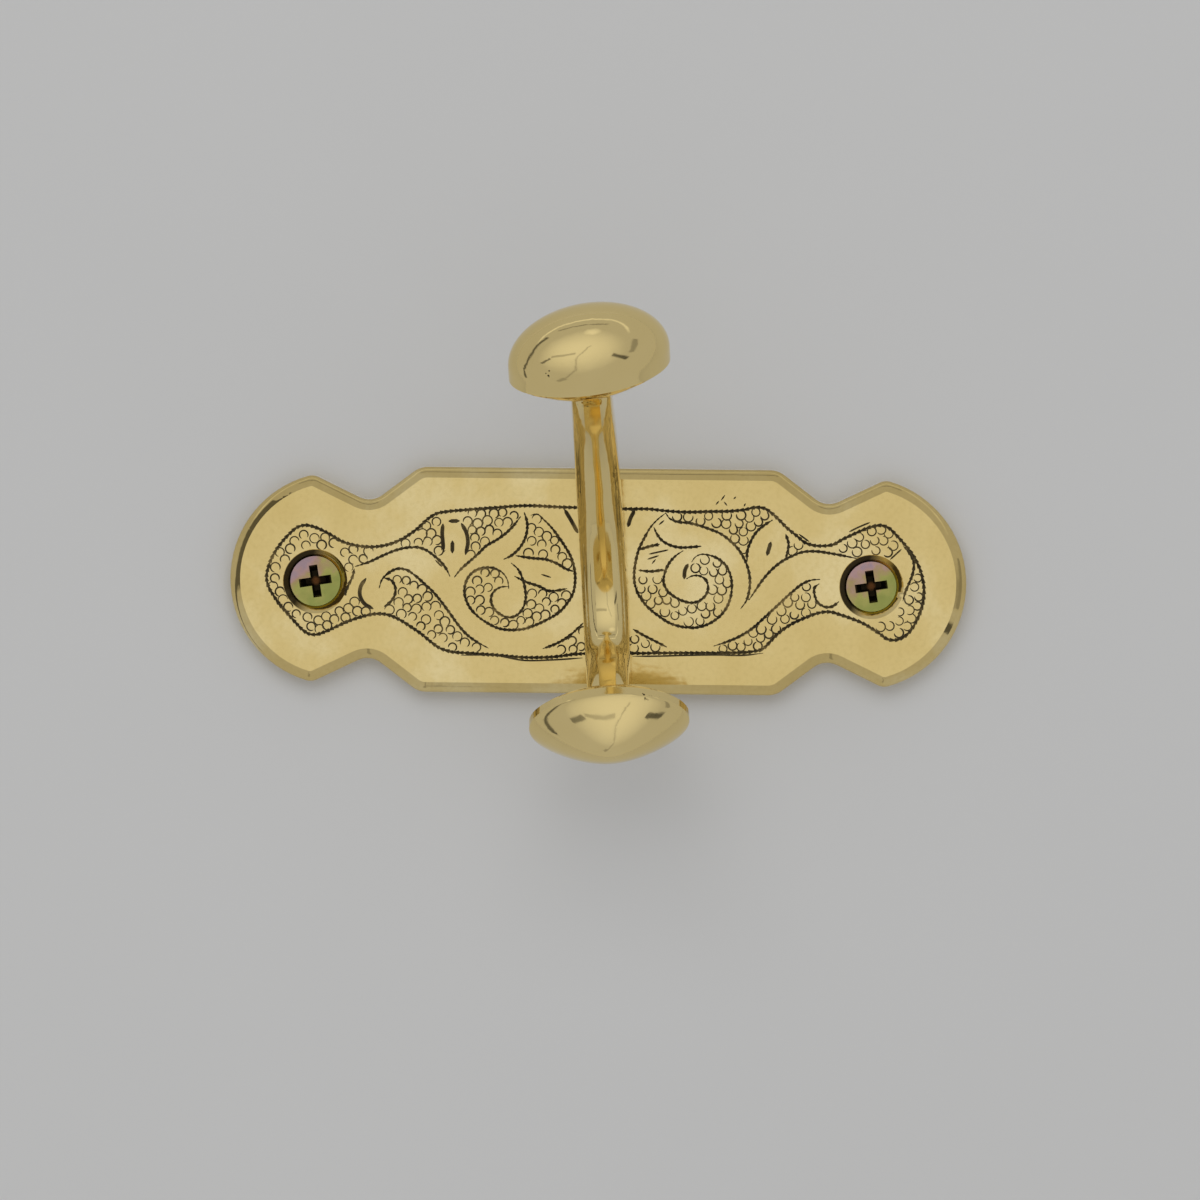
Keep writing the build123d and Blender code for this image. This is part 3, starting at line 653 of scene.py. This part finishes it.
class Tree:
    """A node material or world, built by short calls."""

    def __init__(self, owner):
        owner.use_nodes = True
        self.tree = owner.node_tree
        self.tree.nodes.clear()

    def add(self, kind, settings=None, **inputs):
        """A new node. An input is named by its label, or by i and its number."""
        node = self.tree.nodes.new(kind)
        for key, value in (settings or {}).items():
            setattr(node, key, value)
        for key, value in inputs.items():
            numbered = key[0] == "i" and key[1:].isdigit()
            self.put(node.inputs[int(key[1:]) if numbered else key.replace("_", " ")], value)
        return node

    def put(self, socket, value):
        """Links a socket to another node's output, or gives it a fixed value."""
        if isinstance(value, bpy.types.NodeSocket):
            self.tree.links.new(value, socket)
        else:
            socket.default_value = value

    def where(self):
        """The place on the object, in metres."""
        return self.add("ShaderNodeTexCoord").outputs["Object"]

    def noise(self, scale, detail=3.0, rough=0.55, stretch=None):
        where = self.where()
        if stretch:
            where = self.add("ShaderNodeMapping", i0=where, Scale=stretch).outputs[0]
        node = self.add("ShaderNodeTexNoise", Vector=where, Scale=scale, Detail=detail, Roughness=rough)
        return node.outputs["Fac"]

    def ramp(self, fac, *stops):
        """A colour ramp through stops, each a position and a colour."""
        node = self.add("ShaderNodeValToRGB", Fac=fac)
        band = node.color_ramp
        while len(band.elements) < len(stops):
            band.elements.new(0.5)
        for element, (at, colour) in zip(band.elements, stops):
            element.position = at
            element.color = (*colour, 1.0)
        return node.outputs["Color"]

    def span(self, fac, low, high, start=0.3, end=0.7):
        """From low to high as a value goes from start to end."""
        return self.add(
            "ShaderNodeMapRange", i0=fac, i1=start, i2=end, i3=low, i4=high
        ).outputs[0]

    def mix(self, fac, a, b):
        node = self.add("ShaderNodeMix", {"data_type": "RGBA"})
        for number, value in ((0, fac), (6, a), (7, b)):
            self.put(node.inputs[number], value)
        return node.outputs[2]

    def math(self, operation, *values):
        node = self.add("ShaderNodeMath", {"operation": operation})
        for socket, value in zip(node.inputs, values):
            self.put(socket, value)
        return node.outputs[0]

    def dot(self, vector, direction):
        node = self.add("ShaderNodeVectorMath", {"operation": "DOT_PRODUCT"}, i0=vector, i1=direction)
        return node.outputs["Value"]

    def away(self, vector, point):
        """Distance from a point."""
        node = self.add("ShaderNodeVectorMath", {"operation": "DISTANCE"}, i0=vector, i1=point)
        return node.outputs["Value"]

    def bump(self, height, strength, distance, under=None):
        node = self.add("ShaderNodeBump", Height=height, Strength=strength, Distance=distance)
        if under is not None:
            self.tree.links.new(under, node.inputs["Normal"])
        return node.outputs[0]

    def surface(self, metallic, tone, rough, normal):
        return self.add(
            "ShaderNodeBsdfPrincipled", Metallic=metallic, Base_Color=tone, Roughness=rough, Normal=normal
        ).outputs[0]

    def finish(self, shader, kind="ShaderNodeOutputMaterial"):
        out = self.add(kind)
        self.tree.links.new(shader, out.inputs["Surface"])


# Colours of the brass, of what lies on it, and of the painted shade in its hollows
PLATE_DEEP = (0.60, 0.45, 0.16)
PLATE = (0.72, 0.55, 0.22)
PLATE_MIDDLE = (0.76, 0.59, 0.25)
PLATE_PALE = (0.84, 0.69, 0.35)
CAST = (0.80, 0.63, 0.275)
CAST_PALE = (0.86, 0.69, 0.325)
PIT = (0.05, 0.035, 0.012)
# painted shade: black in the countersinks and in the screws' cross recesses
SHADE_BLACK = (0.03, 0.022, 0.012)
# brown middle of the painted shade in the screws' cross recesses
RECESS_BROWN = (0.22, 0.09, 0.03)
# Clusters of casting pits on the hook: middle (x, y, z) and radius, in millimetres
PIT_CLUSTERS = (
    (-6.0, -50.9, 29.1, 0.85), (6.9, -29.0, -13.9, 0.85),
    (-4.9, -27.8, -18.8, 0.7), (-1.6, -42.6, 25.2, 1.3),
)
# Side of the countersinks that is painted dark as shade, as a direction
SHADED_SIDE = (-0.94, 0.0, 0.34)
# The normal's y where the plate's face ends and where its filed edge begins
FACE_TO_EDGE = (-0.97, -0.93)


def painted_sink_shade(t):
    """How much painted shade lies at a place: on the shaded side of each countersink."""
    where = t.where()
    y = t.add("ShaderNodeSeparateXYZ", Vector=where).outputs["Y"]
    depth = t.span(y, 0.0, 1.0, -3.98 * MM, -3.9 * MM)
    side = Vector(SHADED_SIDE)
    # painted shade: a dark crescent on one side of each countersink's wall
    painted_shade = None
    for x, z in HOLES:
        middle = Vector((x, FACE_Y, z)) * MM
        near = t.span(t.away(where, middle), 1.0, 0.0, 4.7 * MM, 4.9 * MM)
        start = side.dot(middle)
        lean = t.span(t.dot(where, side), 0.0, 0.95, start - 0.6 * MM, start + 1.6 * MM)
        here = t.math("MULTIPLY", t.math("MULTIPLY", near, lean), depth)
        painted_shade = here if painted_shade is None else t.math("ADD", painted_shade, here)
    return painted_shade


def brass_plate():
    """Polished sheet brass, faintly mottled and buffed by hand, with painted shade on one side of each
    countersink.
    """
    material = bpy.data.materials.new("plate_brass")
    t = Tree(material)
    cloud = t.noise(95.0, 4.0)
    grain = t.noise(1500.0, 3.0)
    buff = t.noise(900.0, 2.0, 0.6, (0.12, 1.0, 1.0))
    tone = t.ramp(cloud, (0.32, PLATE), (0.5, PLATE_MIDDLE), (0.66, PLATE_PALE))
    tone = t.mix(t.span(grain, 0.0, 0.35, 0.45, 0.8), tone, (*PLATE_DEEP, 1.0))
    # painted shade: a black crescent on one side of each countersink
    painted_shade = painted_sink_shade(t)
    tone = t.mix(painted_shade, tone, (*SHADE_BLACK, 1.0))

    # the filed edge is smoother than the face
    normal = t.add("ShaderNodeNewGeometry").outputs["Normal"]
    facing = t.add("ShaderNodeSeparateXYZ", Vector=normal).outputs["Y"]
    polish = t.math("MULTIPLY", t.span(cloud, 0.09, 0.16), t.span(facing, 1.0, 0.3, *FACE_TO_EDGE))
    rough = t.math("MULTIPLY_ADD", painted_shade, 0.4, polish)
    normal = t.bump(grain, 0.045, 0.00004)
    normal = t.bump(buff, 0.05, 0.00005, normal)
    normal = t.bump(t.noise(220.0, 3.0), t.span(facing, 0.22, 0.03, *FACE_TO_EDGE), 0.0003, normal)
    t.finish(t.surface(1.0, tone, rough, normal))
    return material


def brass_cast():
    """Cast brass filed by hand and polished to a mirror, with a few clusters of casting pits."""
    material = bpy.data.materials.new("hook_brass")
    t = Tree(material)
    where = t.where()
    cell = t.add("ShaderNodeTexVoronoi", Vector=where, Scale=2000.0).outputs["Distance"]
    near = None
    for x, y, z, r in PIT_CLUSTERS:
        here = t.span(t.away(where, Vector((x, y, z)) * MM), 1.0, 0.0, 0.6 * r * MM, r * MM)
        near = here if near is None else t.math("MAXIMUM", near, here)
    pit = t.math("MULTIPLY", t.span(cell, 1.0, 0.0, 0.22, 0.34), near)
    tone = t.ramp(t.noise(70.0, 3.0), (0.3, CAST), (0.7, CAST_PALE))
    tone = t.mix(pit, tone, (*PIT, 1.0))
    rough = t.span(t.noise(180.0, 4.0), 0.05, 0.1)
    normal = t.bump(t.noise(1300.0, 2.0), 0.03, 0.00003)
    normal = t.bump(t.noise(110.0, 1.5), 0.3, 0.0006, normal)
    t.finish(t.surface(1.0, tone, rough, normal))
    return material


def patina():
    """Dark polish residue that fills the engraved cuts, thinner in places."""
    material = bpy.data.materials.new("engraving_patina")
    t = Tree(material)
    tone = t.ramp(
        t.noise(260.0, 4.0, 0.65),
        (0.32, (0.028, 0.022, 0.011)), (0.52, (0.10, 0.074, 0.03)), (0.68, (0.32, 0.235, 0.09)),
    )
    rough = t.span(t.noise(700.0), 0.5, 0.75)
    normal = t.bump(t.noise(2600.0), 0.3, 0.00005)
    t.finish(t.surface(0.25, tone, rough, normal))
    return material


def zinc():
    """Yellow-passivated zinc: a film from rose to yellow green across a head, and a cross recess darkened
    with painted shade.
    """
    material = bpy.data.materials.new("screw_zinc")
    t = Tree(material)
    axes = t.add("ShaderNodeSeparateXYZ", Vector=t.where())
    left, right = HOLES
    on_left = t.math("LESS_THAN", axes.outputs["X"], 0.0)
    x = t.math("MULTIPLY_ADD", on_left, (right[0] - left[0]) * MM, axes.outputs["X"])
    slant = t.math("SUBTRACT", axes.outputs["Z"], t.math("SUBTRACT", x, right[0] * MM))
    blotch = t.span(t.noise(330.0, 3.0), -0.3, 0.3)
    film = t.math("ADD", t.math("MULTIPLY_ADD", slant, 85.0, 0.5), blotch)
    tone = t.ramp(
        film,
        (0.18, (0.34, 0.36, 0.10)), (0.42, (0.42, 0.40, 0.12)), (0.6, (0.46, 0.33, 0.17)),
        (0.78, (0.50, 0.32, 0.30)), (0.92, (0.42, 0.30, 0.33)),
    )

    # the recess: how far a point lies in it, by its depth and its distance from the screw's axis
    flat = t.add("ShaderNodeCombineXYZ", X=x, Z=axes.outputs["Z"]).outputs[0]
    radius = t.away(flat, Vector((right[0], 0.0, right[1])) * MM)
    depth = t.math("SUBTRACT", axes.outputs["Y"], HEAD_Y * MM)
    limit = t.math("MULTIPLY_ADD", depth, -0.45, 2.25 * MM)
    sunk = t.span(depth, 0.0, 1.0, 0.1 * MM, 0.5 * MM)
    hole = t.math("MULTIPLY", sunk, t.math("LESS_THAN", radius, limit))
    # painted shade in the cross recess, brown at its middle and black further out
    painted_shade = t.ramp(t.span(radius, 0.0, 1.0, 0.25 * MM, 0.7 * MM), (0.0, RECESS_BROWN), (1.0, SHADE_BLACK))
    tone = t.mix(hole, tone, painted_shade)
    rough = t.math("MULTIPLY_ADD", hole, 0.3, t.span(t.noise(800.0), 0.24, 0.42))
    normal = t.bump(t.noise(1800.0), 0.15, 0.00005)
    t.finish(t.surface(1.0, tone, rough, normal))
    return material


def wall_board():
    """A plain pale grey board, seen from its front only."""
    material = bpy.data.materials.new("wall_board")
    t = Tree(material)
    tone = t.ramp(t.noise(9.0, 3.0), (0.3, (0.64, 0.64, 0.637)), (0.7, (0.655, 0.655, 0.652)))
    normal = t.bump(t.noise(420.0, 4.0), 0.08, 0.0003)
    board = t.add("ShaderNodeBsdfPrincipled", Base_Color=tone, Roughness=0.85, Normal=normal).outputs[0]
    clear = t.add("ShaderNodeBsdfTransparent").outputs[0]
    length = t.add("ShaderNodeLightPath").outputs["Ray Length"]
    close = t.math("LESS_THAN", length, CLEAR_WITHIN)
    back = t.add("ShaderNodeNewGeometry").outputs["Backfacing"]
    through = t.math("MAXIMUM", close, back)
    t.finish(t.add("ShaderNodeMixShader", i0=through, i1=board, i2=clear).outputs[0])
    return material


def place(mesh, *materials):
    """A new object of a mesh, with its materials."""
    piece = bpy.data.objects.new(mesh.name, mesh)
    scene.collection.objects.link(piece)
    for material in materials:
        mesh.materials.append(material)
    return piece


def dress():
    """The filed hook, the engraved plate and the threaded screws, in place of the CAD ones."""
    hook = place(hook_mesh(), brass_cast())
    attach(hook, "root")
    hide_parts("hook")
    lines = engraving()
    plate = place(plate_mesh(lines + ring_marks(lines)), brass_plate(), patina())
    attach(plate, "root")
    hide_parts("backplate")
    screws = place(screw_mesh(), zinc())
    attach(screws, "root")
    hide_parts("mounting_screws")


# The wall and the lamp, in metres
WALL_Y = 0.00005
WALL_HALF = 1.2
CLEAR_WITHIN = 0.0012  # the wall is clear from nearer than this, so it doesn't black out the plate's rear
LAMP_AT = (-0.2, -1.5, 1.0)
LAMP_SIZE = (1.6, 1.2)
LAMP_RADIANCE = 1.3


def stage():
    """The wall behind the plate, a soft box that lights it, and the room that the brass mirrors."""
    half, y = WALL_HALF, WALL_Y
    board = bpy.data.meshes.new("wall")
    corners = [(-half, y, -half), (half, y, -half), (half, y, half), (-half, y, half)]
    board.from_pydata(corners, [], [(0, 1, 2, 3)])
    place(board, wall_board())

    wide, high = LAMP_SIZE
    light = bpy.data.lights.new("soft_box", "AREA")
    light.shape = "RECTANGLE"
    light.size = wide
    light.size_y = high
    light.energy = LAMP_RADIANCE * math.pi * wide * high
    lamp = bpy.data.objects.new("soft_box", light)
    lamp.location = LAMP_AT
    lamp.rotation_euler = (-Vector(LAMP_AT)).to_track_quat("-Z", "Y").to_euler()
    lamp.visible_glossy = False
    scene.collection.objects.link(lamp)
    room()


def toward(turn, rise):
    """The direction at an angle right of the camera's side and an angle up, both in degrees."""
    turn, rise = math.radians(turn), math.radians(rise)
    return Vector((math.sin(turn) * math.cos(rise), -math.cos(turn) * math.cos(rise), math.sin(rise)))


# The room's light by direction: its level at the sides and in front, and what the camera sees of it
ROOM_SIDES = 0.5
ROOM_FRONT = 0.79
ROOM_SEEN = 0.78
HOOP_AXIS = (-0.004, -0.914, 0.405)
HOOP_ANGLE = 47.6
# Dark seams of the tent, as directions (right, up) in degrees
RIGHT_SEAM = [(14, 2), (5, -20), (7, -41), (-5, -55)]
LEFT_SEAM = [(-80, -44), (-70, -26), (-55, -2), (-51, 20), (-43, 36)]
# Shorter dark seams: from, to, half width in degrees and darkness
SHORT_SEAMS = [
    ((-5, -55), (-18, -61), 3.0, 0.35), ((-37, -22), (-24, -14), 3.0, 0.65),
    ((-23, -12), (3, -11), 2.5, 0.35), ((36, -17), (56, -24), 3.2, 0.8),
    ((56, -14), (57, 10), 4.0, 0.4), ((-35, 50), (35, 50), 1.6, 0.5),
]


def room():
    """A white tent that the brass mirrors: brighter in front, with a bright hoop above and dark seams."""
    scene.world = bpy.data.worlds.new("room")
    t = Tree(scene.world)
    way = t.add("ShaderNodeTexCoord").outputs["Generated"]
    height = t.add("ShaderNodeSeparateXYZ", Vector=way).outputs["Z"]

    def spot(turn, rise, full, edge):
        """1 within an angle of a direction, falling to 0 at a wider one."""
        start, end = math.cos(math.radians(edge)), math.cos(math.radians(full))
        return t.span(t.dot(way, toward(turn, rise)), 0.0, 1.0, start, end)

    def ring(axis, angle, half):
        """1 on a thin circle about an axis, falling to 0 at half a width from it."""
        gap = t.math("ABSOLUTE", t.math("SUBTRACT", t.dot(way, axis), math.cos(math.radians(angle))))
        return t.span(gap, 1.0, 0.0, 0.5 * half, half)

    def line(start, end, half):
        """1 on the straight line between two directions, falling to 0 at half a width from it."""
        a, b = toward(*start), toward(*end)
        middle = (a + b).normalized()
        gap = t.math("ABSOLUTE", t.dot(way, a.cross(b).normalized()))
        width = math.sin(math.radians(half))
        on = t.span(gap, 1.0, 0.0, 0.6 * width, width)
        return t.math("MULTIPLY", on, t.math("GREATER_THAN", t.dot(way, middle), middle.dot(a)))

    level = t.span(spot(4, -4, 6, 45), ROOM_SIDES, ROOM_FRONT, 0.0, 1.0)
    hoop = t.math("MULTIPLY", ring(HOOP_AXIS, HOOP_ANGLE, 0.03), t.span(height, 0.0, 1.0, 0.35, 0.55))
    level = t.math("MULTIPLY_ADD", hoop, 0.3, level)
    level = t.math("MULTIPLY_ADD", spot(14, 35, 2, 9), 0.25, level)

    seams = [(a, b, 0.8, 0.4) for a, b in zip(RIGHT_SEAM, RIGHT_SEAM[1:])]
    seams += [(a, b, 3.0, 0.75) for a, b in zip(LEFT_SEAM, LEFT_SEAM[1:])]
    seams += SHORT_SEAMS
    dark = None
    for start, end, half, darkness in seams:
        here = t.math("MULTIPLY", line(start, end, half), darkness)
        dark = here if dark is None else t.math("MAXIMUM", dark, here)
    level = t.math("MULTIPLY", level, t.math("SUBTRACT", 1.0, dark))
    seen = t.add("ShaderNodeLightPath").outputs["Is Camera Ray"]
    lit = t.math("MULTIPLY", level, t.math("SUBTRACT", 1.0, seen))
    level = t.math("ADD", lit, t.math("MULTIPLY", seen, ROOM_SEEN))
    shader = t.add("ShaderNodeBackground", Color=level, Strength=1.0).outputs[0]
    t.finish(shader, "ShaderNodeOutputWorld")


def camera():
    """The photograph's view, a long lens just above and right of the plate's middle."""
    distance = 1.25
    wide = 0.16284  # width of the picture at the plate's face
    sensor = 36.0
    up, turn, roll = math.radians(2.7), math.radians(0.8), math.radians(0.55)
    aim = Vector((0.0003, FACE_Y * MM, -0.0025))
    back = Vector((math.sin(turn) * math.cos(up), -math.cos(turn) * math.cos(up), math.sin(up)))
    lens = bpy.data.cameras.new("camera")
    lens.sensor_width = sensor
    lens.lens = sensor * distance / wide
    lens.clip_start = 0.01
    view = bpy.data.objects.new("camera", lens)
    view.matrix_world = Matrix.Translation(aim + back * distance) @ (
        (-back).to_track_quat("-Z", "Y").to_matrix().to_4x4() @ Matrix.Rotation(roll, 4, "Z")
    )
    scene.collection.objects.link(view)
    scene.camera = view


dress()
stage()
camera()
